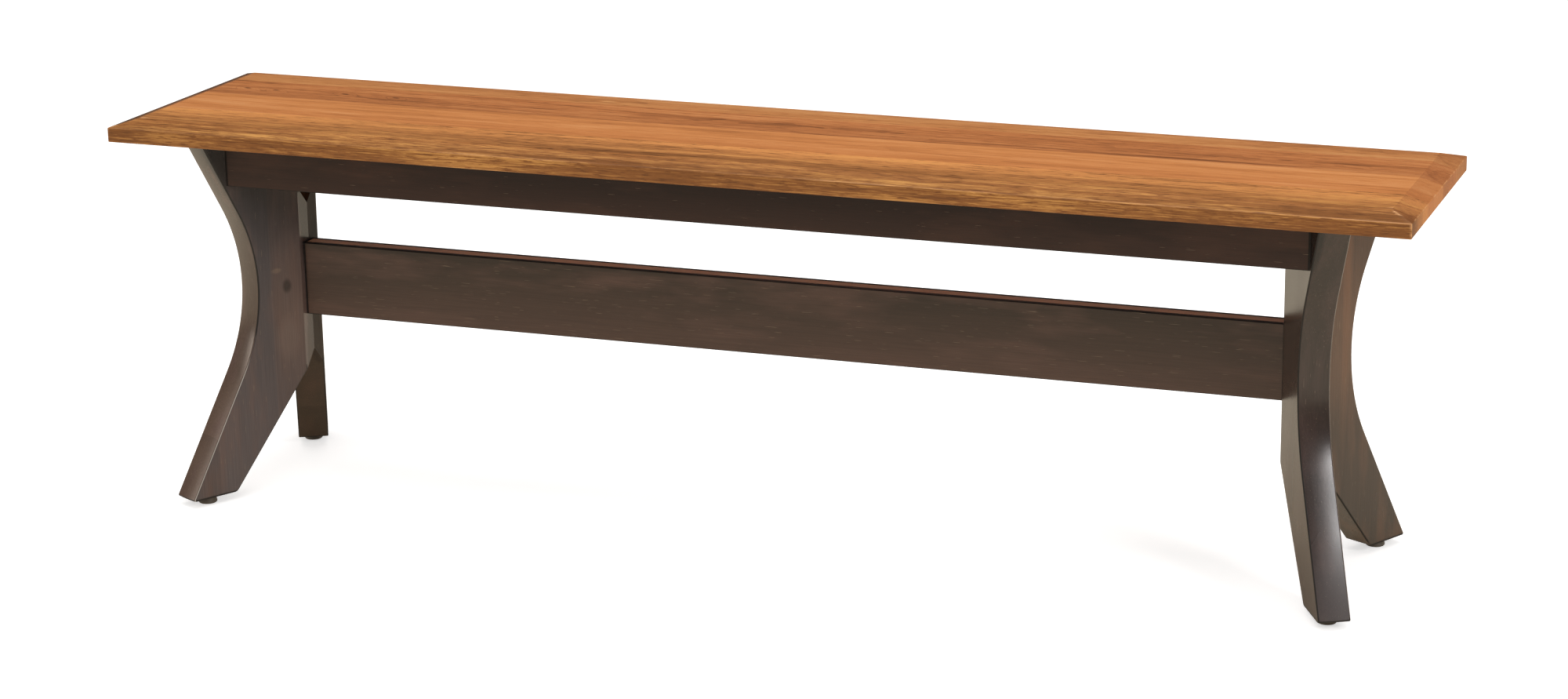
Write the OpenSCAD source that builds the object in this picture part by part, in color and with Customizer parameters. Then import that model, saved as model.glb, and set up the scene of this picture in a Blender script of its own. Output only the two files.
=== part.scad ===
// Trestle dining bench: an edge-glued seat with a wide bevel, on two chevron trestles of
// curved legs tied by two aprons and one broad stretcher, standing on screw-in glides.
// X runs along the bench, Y to the back, Z up from the floor; the origin is under the middle.

/* [Seat] */
// Height of the seat surface above the floor
seat_h = 464; // [420:1:520]
// Length of the seat
seat_l = 1524; // [1440:1:1800]
// Depth of the seat, front to back
seat_w = 330; // [310:1:400]
// Thickness of the seat at its middle
seat_t = 24.5; // [22:0.5:40]
// Width of the bevel round the top, seen from above
bevel_w = 26; // [10:1:40]
// How far the bevel falls from the seat surface to the edge
bevel_drop = 7.5; // [2:0.5:10]
// Width of the front plank
front_plank_w = 95; // [90:1:110]
// Width of the second plank from the front
second_plank_w = 86; // [80:1:95]
// Width of the third plank from the front
third_plank_w = 78; // [60:1:80]

/* [Trestles] */
// Thickness of the leg boards
leg_t = 36.5; // [32:0.5:42]
// Angle that each leg board swings out from the bench's cross line, in degrees
splay = 28; // [22:1:32]
// Width of the flat on the trestle that the stretcher's end butts on
flat_w = 44.5; // [36:0.5:52]
// Depth of the middle of the mitred joint, and of the stretcher, below the seat's underside
joint_drop = 188; // [170:1:200]
// Depth of the legs' narrowest point below the seat's underside
waist_drop = 186; // [170:1:200]
// Width of a leg board at its waist, from the mitre outwards
waist_w = 87; // [80:1:100]
// Radius of the hollow curve down the outer edge of a leg
waist_r = 212; // [180:1:240]
// Lean of the outer edge below the hollow, from upright, in degrees
foot_lean = 29.2; // [26:0.2:32]
// Lean of the outer edge above the hollow, from upright, in degrees
arm_lean = 26.4; // [24:0.2:30]
// Height of the mitred joint between the two boards of a trestle
joint_h = 167; // [150:1:180]
// Angle of the crotch and of the notch above it, from upright, in degrees
crotch_lean = 39.5; // [36:0.5:42]

/* [Aprons, rails and stretcher] */
// How far the seat runs on past the flats that the stretcher's ends butt on
overhang = 163; // [150:1:220]
// Height of the stretcher
stretcher_h = 88; // [80:1:110]
// Thickness of the stretcher
stretcher_t = 27; // [24:0.5:36]
// Height of the aprons
apron_h = 57; // [50:1:65]
// Thickness of the aprons
apron_t = 22; // [20:0.5:24]
// How far an apron's face lies behind the leg's outer edge, along the leg
apron_step = 4.6; // [3:0.2:9]
// Thickness of the cross rails
rail_t = 22; // [18:0.5:30]
// Height of the cross rails
rail_h = 42; // [38:1:48]
// Distance from the middle of the bench to the outer cross rails
rail_x = 400; // [250:1:480]
// Length of a corner block along the apron
block_l = 60; // [50:1:80]
// Width of a corner block
block_w = 24; // [20:1:26]
// Height of a corner block
block_h = 30; // [26:1:36]

/* [Hardware] */
// Diameter of the stretcher bolts
bolt_d = 8; // [6:0.5:8]
// Length of the stretcher bolts under the head
bolt_l = 80; // [75:1:95]
// Height between the two bolts of a trestle
bolt_apart = 44; // [36:1:52]
// Diameter of the bolt washers
washer_d = 22; // [18:1:24]
// Thickness of the bolt washers
washer_t = 1.6; // [1:0.1:2.5]
// Diameter of the barrel nuts
barrel_d = 12; // [11:0.5:14]
// Length of the barrel nuts
barrel_l = 18; // [14:1:20]
// Distance from the stretcher's end to its barrel nuts
barrel_in = 42; // [34:1:48]
// Wood left between a trestle's flat and its bolt washers
bolt_wood = 21; // [18:0.5:22]
// Diameter of the dowels that join the trestle mitres
mitre_dowel_d = 10; // [8:0.5:12]
// Length of the dowels that join the trestle mitres
mitre_dowel_l = 36; // [28:1:40]
// Diameter of the dowels in the aprons and rails
dowel_d = 8; // [6:0.5:9]
// Length of the dowels in the aprons and rails
dowel_l = 28; // [24:1:32]
// Diameter of the wood screws
screw_d = 4; // [3.5:0.1:5]
// Length of the screws that hold the seat
seat_screw_l = 32; // [28:1:34]
// Length of the screws that hold the corner blocks to the aprons
block_screw_l = 40; // [34:1:42]

/* [Glides] */
// Diameter of a glide's pad on the floor
pad_d = 22; // [18:0.5:26]
// Diameter of a glide's pad at its top
pad_top_d = 19; // [16:0.5:20]
// Height of a glide's pad
pad_h = 7.5; // [5:0.1:9]
// Diameter of the threaded stem
stem_d = 8; // [6:0.5:9]
// Length of the stem above its hexagon
stem_l = 28; // [22:1:34]
// Width across the flats of the stem's hexagon
hex_w = 12; // [11:0.5:14]
// Height of the stem's hexagon
hex_h = 2.4; // [2:0.1:4]
// Diameter of the threaded insert's barrel
insert_d = 12; // [11:0.5:14]
// Length of the threaded insert
insert_l = 16; // [12:1:22]
// Diameter of the insert's flange, let in flush with the foot
insert_flange_d = 19; // [16:0.5:22]
// Thickness of the insert's flange
insert_flange_t = 1.6; // [1:0.1:2.5]

/* [Clearances] */
// Glue gap round a dowel, and gap round a screw or an insert in its hole
glue_gap = 0.1; // [0.05:0.05:0.2]
// Gap round a bolt, a washer and a barrel nut in their holes
bolt_gap = 0.3; // [0.2:0.05:0.6]
// Gap between the stem's thread and the insert, and round the stem's head in the pad
running_gap = 0.08; // [0.05:0.01:0.1]
// Gap between the stem's hexagon and the insert when the glide is screwed right in
stop_gap = 0.1; // [0.05:0.05:0.3]
// How far a blind hole runs on past what it holds
hole_spare = 2; // [1:0.5:3]

/* [Hidden] */
$fn = 96;

LEFT = -1;
RIGHT = 1;
FRONT = -1;
BACK = 1;
SIDES = [LEFT, RIGHT];
FACES = [FRONT, BACK];
reach = 900;

seat_z = seat_h - seat_t;
glide_h = pad_h + hex_h + stop_gap;
leg_h = seat_z - glide_h;
waist_z = leg_h - waist_drop;
joint_z = leg_h - joint_drop;
mid_z = seat_z - joint_drop;
apron_z = seat_z - apron_h;
second_y = -seat_w / 2 + front_plank_w;
third_y = second_y + second_plank_w;
back_y = third_y + third_plank_w;

flat_x = seat_l / 2 - overhang;
vertex_x = flat_x - tan(splay) * flat_w / 2;
valley_x = vertex_x + leg_t / cos(splay);
washer_x = flat_x + bolt_wood;

// Distance of the leg's outer edge from the mitre's inner line, at height h above the leg's foot
function edge_out(h) =
    let (up = h - waist_z, lean = up < 0 ? foot_lean : arm_lean, far = abs(up), bend = waist_r * sin(lean))
    far < bend
        ? waist_w + waist_r - sqrt(waist_r * waist_r - far * far)
        : waist_w + waist_r * (1 - cos(lean)) + (far - bend) * tan(lean);

// Distance of the leg's inner edge from the mitre's inner line, at height h
function edge_in(h) = max(0, (abs(h - joint_z) - joint_h / 2) * tan(crotch_lean));

// Plan position of the point s along and n through the right front leg, from its inner face
function on_leg(s, n) = [vertex_x + s * sin(splay) + n * cos(splay), n * sin(splay) - s * cos(splay)];

glide_s = (edge_in(0) + edge_out(0)) / 2;
glide_xy = on_leg(glide_s, leg_t / 2);

// The apron's outer and inner faces, and the inner faces' place on the leg
apron_out = (edge_out(leg_h - apron_h) - apron_step) * cos(splay);
apron_in = apron_out - apron_t;
apron_mid = apron_out - apron_t / 2;
function apron_end(y) = vertex_x + y * tan(splay);

dowel_zs = [seat_z - apron_h * 0.28, seat_z - apron_h * 0.72];
rail_dowel_zs = [seat_z - rail_h * 0.25, seat_z - rail_h * 0.75];
rail_xs = [-rail_x, 0, rail_x];
rail_screw_y = apron_in * 0.62;
mitre_dowel_zs = [for (up = [-0.46, -0.3, 0.3, 0.46]) mid_z + up * joint_h];
mitre_dowel_x = (flat_x + valley_x) / 2;
bolt_zs = [mid_z - bolt_apart / 2, mid_z + bolt_apart / 2];
bolt_head_d = bolt_d * 1.6;
bolt_head_h = bolt_d * 0.6;
barrel_x = flat_x - barrel_in;
screw_head_d = screw_d * 2;
screw_head_h = screw_d * 0.7;
seat_screw_bite = seat_t * 0.55;
seat_screw_z = seat_z + seat_screw_bite - seat_screw_l;

// Right front corner block: its inner face, its screw to the seat and its screw to the apron
block_y = block_w - apron_in;
block_end = apron_end(apron_in) - block_l;
seat_screw_x = block_end + block_l * 0.3;
seat_screw_y = -apron_in + block_w / 3;
apron_screw_x = block_end + block_l * 0.52;
apron_screw_z = seat_z - block_h / 2;

stem_head_d = stem_d + 4;
stem_head_h = 2;
pad_floor = 1.6;

module to_side(side) {
    if (side == LEFT) mirror([1, 0, 0]) children();
    else children();
}

module to_face(face) {
    if (face == BACK) mirror([0, 1, 0]) children();
    else children();
}

module to_corner(side, face) {
    to_side(side) to_face(face) children();
}

// A cylinder from a point along X, Y or Z, given as the turn of the upright cylinder
module rod(at, d, l, turn = [0, 0, 0]) {
    translate(at) rotate(turn) cylinder(d = d, h = l);
}

ALONG_X = [0, 90, 0];
ALONG_Y = [-90, 0, 0];

module seat_slab() {
    edge_h = seat_t - bevel_drop;
    intersection() {
        translate([-seat_l / 2, 0, seat_z]) rotate([90, 0, 90]) linear_extrude(seat_l)
            bevelled_section(seat_w, edge_h);
        translate([0, seat_w / 2, seat_z]) rotate([90, 0, 0]) linear_extrude(seat_w)
            bevelled_section(seat_l, edge_h);
    }
}

module bevelled_section(w, edge_h) {
    polygon([[-w / 2, 0], [w / 2, 0], [w / 2, edge_h], [w / 2 - bevel_w, seat_t],
        [-w / 2 + bevel_w, seat_t], [-w / 2, edge_h]]);
}

module seat_screw_points() {
    for (x = rail_xs, face = FACES) translate([x, face * rail_screw_y, 0]) children();
    for (side = SIDES, face = FACES)
        translate([side * seat_screw_x, -face * seat_screw_y, 0]) children();
}

module plank(y0, y1) {
    difference() {
        intersection() {
            seat_slab();
            translate([-reach, y0, seat_z]) cube([2 * reach, y1 - y0, seat_t]);
        }
        seat_screw_points()
            rod([0, 0, seat_z - 1], screw_d + 2 * glue_gap, seat_screw_bite + 1 + hole_spare);
    }
}

module front_plank() { color("#a65a26") plank(-seat_w / 2, second_y); }
module second_plank() { color("#b8652b") plank(second_y, third_y); }
module third_plank() { color("#a05322") plank(third_y, back_y); }
module back_plank() { color("#b3622c") plank(back_y, seat_w / 2); }

// Outline of a leg board: s along the board from the mitre, height above the foot
module leg_blank() {
    low_bend = waist_z - waist_r * sin(foot_lean);
    high_bend = waist_z + waist_r * sin(arm_lean);
    difference() {
        linear_extrude(leg_t)
            polygon([[0, joint_z + joint_h / 2], [0, joint_z - joint_h / 2], [edge_in(0), 0],
                [edge_out(0), 0], [edge_out(low_bend), low_bend], [edge_out(high_bend), high_bend],
                [edge_out(leg_h), leg_h], [edge_in(leg_h), leg_h]]);
        translate([waist_w + waist_r, waist_z, -1]) cylinder(r = waist_r, h = leg_t + 2, $fn = 256);
    }
}

// Right front leg, cut at the mitre and at the flat for the stretcher, with its bores
module leg_board() {
    difference() {
        intersection() {
            translate([vertex_x, 0, glide_h]) rotate([0, 0, splay - 90]) rotate([90, 0, 0])
                translate([0, 0, -leg_t]) leg_blank();
            translate([flat_x, -reach, 0]) cube([reach, reach, seat_h]);
        }
        for (z = mitre_dowel_zs)
            rod([mitre_dowel_x, -mitre_dowel_l / 2 - hole_spare, z], mitre_dowel_d + 2 * glue_gap,
                mitre_dowel_l, ALONG_Y);
        for (z = bolt_zs) {
            rod([flat_x - 1, 0, z], bolt_d + 2 * bolt_gap, bolt_l, ALONG_X);
            rod([washer_x, 0, z], washer_d + 2 * bolt_gap, bolt_l, ALONG_X);
        }
        for (z = dowel_zs)
            rod([apron_end(apron_mid) - dowel_l / 2, -apron_mid, z], dowel_d + 2 * glue_gap,
                dowel_l + hole_spare, ALONG_X);
        translate([glide_xy.x, glide_xy.y, glide_h]) {
            rod([0, 0, -1], insert_d + 2 * glue_gap, insert_l + 1);
            rod([0, 0, -1], insert_flange_d + 2 * glue_gap, insert_flange_t + 1);
            rod([0, 0, -1], stem_d + 2, stem_l + hole_spare + 1);
        }
    }
}

module leg(side, face) { color("#3a2a24") to_corner(side, face) leg_board(); }
module left_front_leg() { leg(LEFT, FRONT); }
module left_back_leg() { leg(LEFT, BACK); }
module right_front_leg() { leg(RIGHT, FRONT); }
module right_back_leg() { leg(RIGHT, BACK); }

module apron_board() {
    difference() {
        translate([0, 0, apron_z]) linear_extrude(apron_h)
            polygon([[-apron_end(apron_in), -apron_in], [apron_end(apron_in), -apron_in],
                [apron_end(apron_out), -apron_out], [-apron_end(apron_out), -apron_out]]);
        for (side = SIDES, z = dowel_zs)
            to_side(side) rod([apron_end(apron_mid) - dowel_l / 2 - hole_spare, -apron_mid, z],
                dowel_d + 2 * glue_gap, dowel_l, ALONG_X);
        for (x = rail_xs, z = rail_dowel_zs)
            rod([x, -apron_in - dowel_l / 2 - glue_gap, z], dowel_d + 2 * glue_gap, dowel_l, ALONG_Y);
        for (side = SIDES)
            to_side(side) rod([apron_screw_x, block_y - block_screw_l - glue_gap, apron_screw_z],
                screw_d + 2 * glue_gap, block_screw_l, ALONG_Y);
    }
}

module front_apron() { color("#2e211c") apron_board(); }
module back_apron() { color("#2e211c") to_face(BACK) apron_board(); }

module stretcher() {
    color("#3b2c23") difference() {
        translate([-flat_x, -stretcher_t / 2, mid_z - stretcher_h / 2])
            cube([2 * flat_x, stretcher_t, stretcher_h]);
        for (side = SIDES, z = bolt_zs) to_side(side) {
            rod([washer_x + washer_t - bolt_l - hole_spare, 0, z], bolt_d + 2 * bolt_gap,
                bolt_l, ALONG_X);
            rod([barrel_x, -barrel_l / 2, z], barrel_d + 2 * bolt_gap, stretcher_t, ALONG_Y);
        }
    }
}

// Cross rail between the aprons, with a stepped screw hole up to the seat near each end
module rail(x) {
    color("#4a382c") difference() {
        translate([x - rail_t / 2, -apron_in, seat_z - rail_h]) cube([rail_t, 2 * apron_in, rail_h]);
        for (face = FACES) {
            rod([x, face * rail_screw_y, seat_z - rail_h - 1], screw_d + 4 * glue_gap, rail_h + 2);
            rod([x, face * rail_screw_y, seat_z - rail_h - 1], screw_head_d + 1,
                seat_screw_z + screw_head_h - seat_z + rail_h + 1);
            to_face(face) for (z = rail_dowel_zs)
                rod([x, -apron_in - 1, z], dowel_d + 2 * glue_gap, dowel_l / 2 + hole_spare, ALONG_Y);
        }
    }
}

module left_rail() { rail(-rail_x); }
module middle_rail() { rail(0); }
module right_rail() { rail(rail_x); }

// Glue block in the corner of the front apron and the right leg, its end cut to the leg's face
module block_solid() {
    difference() {
        translate([0, 0, seat_z - block_h]) linear_extrude(block_h)
            polygon([[block_end, -apron_in], [apron_end(apron_in), -apron_in],
                [apron_end(-block_y), block_y], [block_end, block_y]]);
        rod([seat_screw_x, seat_screw_y, seat_z - block_h - 1], screw_d + 4 * glue_gap, block_h + 2);
        rod([seat_screw_x, seat_screw_y, seat_z - block_h - 1], screw_head_d + 1,
            seat_screw_z + screw_head_h - seat_z + block_h + 1);
        rod([apron_screw_x, -apron_in - 1, apron_screw_z], screw_d + 4 * glue_gap, block_w + 2, ALONG_Y);
        rod([apron_screw_x, block_y - screw_head_h, apron_screw_z], screw_head_d + 1,
            screw_head_h + 1, ALONG_Y);
    }
}

module block(side, face) { color("#4a382c") to_corner(side, face) block_solid(); }
module left_front_block() { block(LEFT, FRONT); }
module left_back_block() { block(LEFT, BACK); }
module right_front_block() { block(RIGHT, FRONT); }
module right_back_block() { block(RIGHT, BACK); }

module mitre_dowels(side) {
    color("#c9a778") for (z = mitre_dowel_zs)
        to_side(side) rod([mitre_dowel_x, -mitre_dowel_l / 2, z], mitre_dowel_d, mitre_dowel_l, ALONG_Y);
}

module left_mitre_dowels() { mitre_dowels(LEFT); }
module right_mitre_dowels() { mitre_dowels(RIGHT); }

module apron_dowels() {
    color("#c9a778") for (side = SIDES, face = FACES, z = dowel_zs)
        to_corner(side, face) rod([apron_end(apron_mid) - dowel_l / 2, -apron_mid, z],
            dowel_d, dowel_l, ALONG_X);
}

module rail_dowels() {
    color("#c9a778") for (x = rail_xs, face = FACES, z = rail_dowel_zs)
        to_face(face) rod([x, -apron_in - dowel_l / 2, z], dowel_d, dowel_l, ALONG_Y);
}

module stretcher_bolts() {
    color("#b9bcc0") for (side = SIDES, z = bolt_zs) to_side(side) {
        rod([washer_x + washer_t - bolt_l, 0, z], bolt_d, bolt_l, ALONG_X);
        difference() {
            rod([washer_x + washer_t, 0, z], bolt_head_d, bolt_head_h, ALONG_X);
            rod([washer_x + washer_t + bolt_head_h / 2, 0, z], bolt_d * 0.7, bolt_head_h, ALONG_X, $fn = 6);
        }
    }
}

module bolt_washers() {
    color("#b9bcc0") for (side = SIDES, z = bolt_zs) to_side(side) difference() {
        rod([washer_x, 0, z], washer_d, washer_t, ALONG_X);
        rod([washer_x - 1, 0, z], bolt_d + 2 * bolt_gap, washer_t + 2, ALONG_X);
    }
}

module barrel_nuts() {
    color("#b9bcc0") for (side = SIDES, z = bolt_zs) to_side(side) difference() {
        rod([barrel_x, -barrel_l / 2, z], barrel_d, barrel_l, ALONG_Y);
        rod([barrel_x - barrel_d, 0, z], bolt_d + 2 * running_gap, 2 * barrel_d, ALONG_X);
    }
}

// Wood screw, head down, from the origin upwards
module wood_screw(l) {
    union() {
        cylinder(d = screw_d, h = l);
        cylinder(d = screw_head_d, h = screw_head_h);
    }
}

module seat_screws() {
    color("#b9bcc0") seat_screw_points() translate([0, 0, seat_screw_z]) wood_screw(seat_screw_l);
}

module block_screws() {
    color("#b9bcc0") for (side = SIDES, face = FACES)
        to_corner(side, face) translate([apron_screw_x, block_y, apron_screw_z])
            rotate([90, 0, 0]) wood_screw(block_screw_l);
}

module glide_inserts() {
    color("#c9b26a") for (side = SIDES, face = FACES) at_glide(side, face)
        translate([0, 0, glide_h]) difference() {
            union() {
                cylinder(d = insert_d, h = insert_l);
                cylinder(d = insert_flange_d, h = insert_flange_t);
            }
            rod([0, 0, -1], stem_d + 2 * running_gap, insert_l + 2);
        }
}

module at_glide(side, face) {
    translate([side * glide_xy.x, -face * glide_xy.y, 0]) children();
}

// Pad of a glide: a coned disc with a snap socket that holds the stem's head
module pad(side, face) {
    color("#4b4d49") at_glide(side, face) rotate_extrude() polygon([
        [0, 0], [pad_d / 2 - 1, 0], [pad_d / 2, 1], [pad_d / 2, 2], [pad_top_d / 2, pad_h],
        [stem_d / 2 + running_gap, pad_h], [stem_d / 2 + running_gap, pad_floor + stem_head_h + running_gap],
        [stem_head_d / 2 + running_gap, pad_floor + stem_head_h + running_gap],
        [stem_head_d / 2 + running_gap, pad_floor], [0, pad_floor]]);
}

module left_front_pad() { pad(LEFT, FRONT); }
module left_back_pad() { pad(LEFT, BACK); }
module right_front_pad() { pad(RIGHT, FRONT); }
module right_back_pad() { pad(RIGHT, BACK); }

// Stem of a glide: a head held in the pad, a hexagon for the spanner and the threaded length
module stem(side, face) {
    color("#b9bcc0") at_glide(side, face) union() {
        rod([0, 0, pad_floor], stem_head_d, stem_head_h);
        rod([0, 0, pad_floor], stem_d, pad_h + hex_h + stem_l - pad_floor);
        rod([0, 0, pad_h], hex_w / cos(30), hex_h, $fn = 6);
    }
}

module left_front_stem() { stem(LEFT, FRONT); }
module left_back_stem() { stem(LEFT, BACK); }
module right_front_stem() { stem(RIGHT, FRONT); }
module right_back_stem() { stem(RIGHT, BACK); }

front_plank();
second_plank();
third_plank();
back_plank();
left_front_leg();
left_back_leg();
right_front_leg();
right_back_leg();
front_apron();
back_apron();
stretcher();
left_rail();
middle_rail();
right_rail();
left_front_block();
left_back_block();
right_front_block();
right_back_block();
left_mitre_dowels();
right_mitre_dowels();
apron_dowels();
rail_dowels();
stretcher_bolts();
bolt_washers();
barrel_nuts();
seat_screws();
block_screws();
glide_inserts();
left_front_pad();
left_back_pad();
right_front_pad();
right_back_pad();
left_front_stem();
left_back_stem();
right_front_stem();
right_back_stem();
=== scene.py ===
import math

import bpy
import numpy as np
from mathutils import Matrix, Vector


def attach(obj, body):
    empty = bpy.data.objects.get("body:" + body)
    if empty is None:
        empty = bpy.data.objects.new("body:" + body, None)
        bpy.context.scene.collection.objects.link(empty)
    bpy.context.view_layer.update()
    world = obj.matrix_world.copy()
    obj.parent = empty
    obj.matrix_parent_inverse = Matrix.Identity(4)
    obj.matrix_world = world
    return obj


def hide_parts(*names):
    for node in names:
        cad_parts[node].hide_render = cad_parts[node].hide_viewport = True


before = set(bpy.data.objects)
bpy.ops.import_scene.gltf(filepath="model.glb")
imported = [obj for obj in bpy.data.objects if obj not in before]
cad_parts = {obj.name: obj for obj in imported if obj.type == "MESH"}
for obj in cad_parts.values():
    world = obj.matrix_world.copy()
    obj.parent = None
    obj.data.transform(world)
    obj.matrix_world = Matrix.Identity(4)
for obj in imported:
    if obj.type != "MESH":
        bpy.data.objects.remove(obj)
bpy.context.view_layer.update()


# Standpoint: the photographer stood to the right of the bench's front, at standing eye height, with
# a long lens. The picture was cut off centre afterwards, and the sideways shift repeats that cut.
STANDPOINT = Vector((1.3879, -3.6626, 1.3319))
TURNED_LEFT, TIPPED_DOWN = math.radians(17.612), math.radians(15.995)
SENSOR_WIDTH, FOCAL_LENGTH, SIDEWAYS_SHIFT = 36.0, 80.82, -0.1149


def in_scene(name, data):
    """A new object that holds the data, linked into the scene."""
    made = bpy.data.objects.new(name, data)
    bpy.context.scene.collection.objects.link(made)
    return made


def set_up(point, way, axis="-Z"):
    """Stands a thing at a point with one of its own axes along a way: a turn, then a move."""
    return Matrix.Translation(point) @ way.to_track_quat(axis, "Y").to_matrix().to_4x4()


sight_line = Vector((-math.sin(TURNED_LEFT) * math.cos(TIPPED_DOWN),
                     math.cos(TURNED_LEFT) * math.cos(TIPPED_DOWN), -math.sin(TIPPED_DOWN)))
long_lens = bpy.data.cameras.new("standpoint")
long_lens.sensor_width, long_lens.lens, long_lens.shift_x = SENSOR_WIDTH, FOCAL_LENGTH, SIDEWAYS_SHIFT
camera = in_scene("standpoint", long_lens)
camera.matrix_world = set_up(STANDPOINT, sight_line)
bpy.context.scene.camera = camera


# Seat: four cherry planks glued edge to edge into one panel, sanded flat, then bevelled all round
# by 7.5 mm over 26 mm and lacquered. The bevels meet in mitres at the panel's corners.
SEAT_LENGTH, SEAT_DEPTH, SEAT_THICK, SEAT_UNDER = 1.524, 0.330, 0.0245, 0.4395
SEAT_TOP = SEAT_UNDER + SEAT_THICK
PLANK_EDGES = (-0.165, -0.070, 0.016, 0.094, 0.165)
BEVEL_RUN, BEVEL_FALL = 0.026, 0.0075
ARRIS, RIDGE_SOFT = 0.0011, 0.0007
# the mitres' arris value is a painted highlight, the upright corners' is wear and a painted highlight
MITRE_HIGHLIGHT, CORNER_WEAR_AND_HIGHLIGHT, CORNER_REACH = 1.6, 1.8, 0.0020
LINES_ALONG, LINES_ACROSS, EDGE_LINES = 60, 18, 0.04
SAME_LINE, SAME_PLACE = 1e-5, 1e-7


def arris_drop(inset):
    """How far a quarter circle of the arris's radius falls below the flat, at a distance in."""
    along = 1 - np.clip(inset / ARRIS, 0, 1)
    return ARRIS * (1 - np.sqrt(1 - along ** 2))


def seat_surface(inset):
    """Height over the seat's underside at a distance in from its edge: a sloping line up to the
    ridge, a parabola 1.4 mm wide over the ridge, then flat; a quarter circle rounds the arris."""
    slope = BEVEL_FALL / BEVEL_RUN
    bevel = SEAT_THICK - BEVEL_FALL + slope * inset
    past = np.clip(BEVEL_RUN + RIDGE_SOFT - inset, 0, 2 * RIDGE_SOFT)
    ridge = SEAT_THICK - slope * past ** 2 / (4 * RIDGE_SOFT)
    return np.where(inset < BEVEL_RUN - RIDGE_SOFT, bevel, ridge) - arris_drop(inset)


def make_piece(name, points, faces, material, crease):
    """A named mesh of points and of faces, given as arrays of faces with like numbers of corners.
    It is smooth except along edges bent by more than crease degrees."""
    mesh = bpy.data.meshes.new(name)
    mesh.from_pydata(points.tolist(), [], [face for part in faces for face in part.tolist()])
    mesh.polygons.foreach_set("use_smooth", np.ones(len(mesh.polygons), bool))
    mesh.set_sharp_from_angle(angle=math.radians(crease))
    mesh.materials.append(material)
    return in_scene(name, mesh)


def keep_wear_and_light(piece, wear_and_light):
    """Keeps a number for each point of a piece, for the wear of its arris and the painted highlight and
    shade on it, where materials read it.
    """
    arris = piece.data.attributes.new("arris", "FLOAT", "POINT")
    arris.data.foreach_set("value", wear_and_light.astype(np.float32).ravel())


def make_plank(name, front_y, back_y, material):
    """One plank of the seat: the seat's surface over a lattice of x and y lines that lie close
    together at the edges, a flat underside with a rounded arris, and upright walls between. The
    arris value it keeps is twice sine times cosine over the arris's quarter circle, for wear and a
    painted highlight, with that of the mitre lines, a painted highlight, and of the upright corners,
    wear and a painted highlight, which fades evenly to nothing, where those are more."""
    near_edge = np.concatenate([ARRIS * (1 - np.cos(np.radians(np.arange(0, 91, 11.25)))),
                                np.linspace(0.003, BEVEL_RUN - RIDGE_SOFT, 8),
                                BEVEL_RUN + RIDGE_SOFT * np.array([-0.6, -0.2, 0.2, 0.6, 1.0])])
    lattice = []
    for size, count in ((SEAT_LENGTH, LINES_ALONG), (SEAT_DEPTH, LINES_ACROSS)):
        inner = np.linspace(EDGE_LINES, size - EDGE_LINES, count)
        lattice.append(np.concatenate([near_edge, inner, size - near_edge[::-1]]) - size / 2)
    xs, ys = lattice
    between = (ys > front_y + SAME_LINE) & (ys < back_y - SAME_LINE)
    x, y = np.meshgrid(xs, np.concatenate([[front_y], ys[between], [back_y]]), indexing="ij")
    from_end, from_side = SEAT_LENGTH / 2 - abs(x), SEAT_DEPTH / 2 - abs(y)
    inset = np.maximum(np.minimum(from_end, from_side), 0)
    top = np.stack([x, y, SEAT_UNDER + seat_surface(inset)], -1).reshape(-1, 3)
    under = np.stack([x, y, SEAT_UNDER + arris_drop(inset)], -1).reshape(-1, 3)
    number = np.arange(x.size).reshape(x.shape)
    a, b = number[:-1, :-1].ravel(), number[1:, :-1].ravel()
    c, d = number[1:, 1:].ravel(), number[:-1, 1:].ravel()
    # cells that the mitre crosses are cut in two along it
    mid_x = (x[:-1, :-1] + x[1:, 1:]).ravel() / 2
    mid_y = (y[:-1, :-1] + y[1:, 1:]).ravel() / 2
    on_mitre = abs((SEAT_LENGTH / 2 - abs(mid_x)) - (SEAT_DEPTH / 2 - abs(mid_y))) < SAME_PLACE
    on_mitre &= SEAT_LENGTH / 2 - abs(mid_x) < BEVEL_RUN + 2 * RIDGE_SOFT
    rising, falling = on_mitre & (mid_x * mid_y > 0), on_mitre & (mid_x * mid_y < 0)
    faces = [np.stack([a, b, c, d], -1)[~on_mitre],
             np.stack([a, b, c], -1)[rising], np.stack([a, c, d], -1)[rising],
             np.stack([a, b, d], -1)[falling], np.stack([b, c, d], -1)[falling]]
    faces += [part[:, ::-1] + x.size for part in faces]
    rim = np.concatenate([number[:, 0], number[-1, 1:], number[-2::-1, -1], number[0, -2:0:-1]])
    after = np.roll(rim, -1)
    faces.append(np.stack([rim + x.size, after + x.size, after, rim], -1))
    plank = make_piece(name, np.concatenate([top, under]), faces, material, 8)
    rounding = 1 - np.clip(inset / ARRIS, 0, 1)
    corner = CORNER_WEAR_AND_HIGHLIGHT - CORNER_WEAR_AND_HIGHLIGHT * np.clip(np.hypot(from_end, from_side) / CORNER_REACH, 0, 1)
    mitre = (abs(from_end - from_side) < SAME_PLACE) & (inset < BEVEL_RUN + RIDGE_SOFT)
    wear_and_light = np.maximum(2 * rounding * np.sqrt(1 - rounding ** 2), np.maximum(corner, MITRE_HIGHLIGHT * mitre))
    keep_wear_and_light(plank, np.concatenate([wear_and_light, wear_and_light]))
    return plank


def linear(sheet_colour):
    """sRGB hex to linear light, per channel: c / 12.92 near black, else ((c + 0.055) / 1.055) ** 2.4."""
    channels = [int(sheet_colour[i:i + 2], 16) / 255 for i in (1, 3, 5)]
    return tuple(c / 12.92 if c <= 0.04045 else ((c + 0.055) / 1.055) ** 2.4 for c in channels) + (1.0,)


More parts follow.
